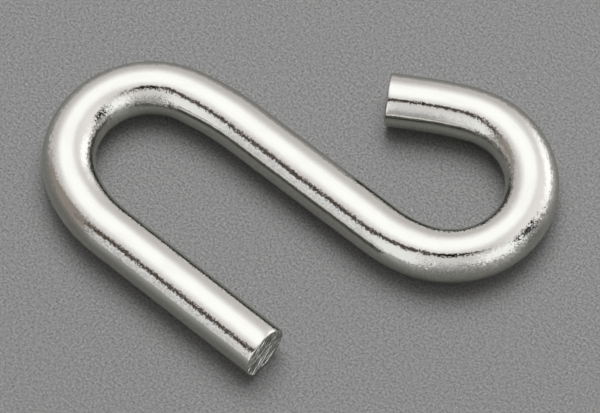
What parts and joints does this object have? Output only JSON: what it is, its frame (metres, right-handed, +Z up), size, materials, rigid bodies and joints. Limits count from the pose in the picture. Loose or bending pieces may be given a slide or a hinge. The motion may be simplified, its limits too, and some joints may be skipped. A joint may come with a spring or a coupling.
{
  "type": "s hook",
  "caption": "Flat S hook bent from round plated steel bar, with a long open hook and a shorter hook whose tip closes in on the shank.",
  "frame": {"origin": "on the surface that the hook lies on, under the middle of the hook's box", "axes": "+X along the straight shank, from the long hook to the short hook, +Y from the long leg towards the short hook's tip, +Z up, square to the plane that the hook is bent in"},
  "size_m": [0.0676, 0.0582, 0.008],
  "materials": {
    "bright_plate": "bright zinc plate on drawn steel bar, slightly pebbled round the bends"
  },
  "bodies": {
    "root": {"hook": "bright_plate"}
  },
  "joints": []
}
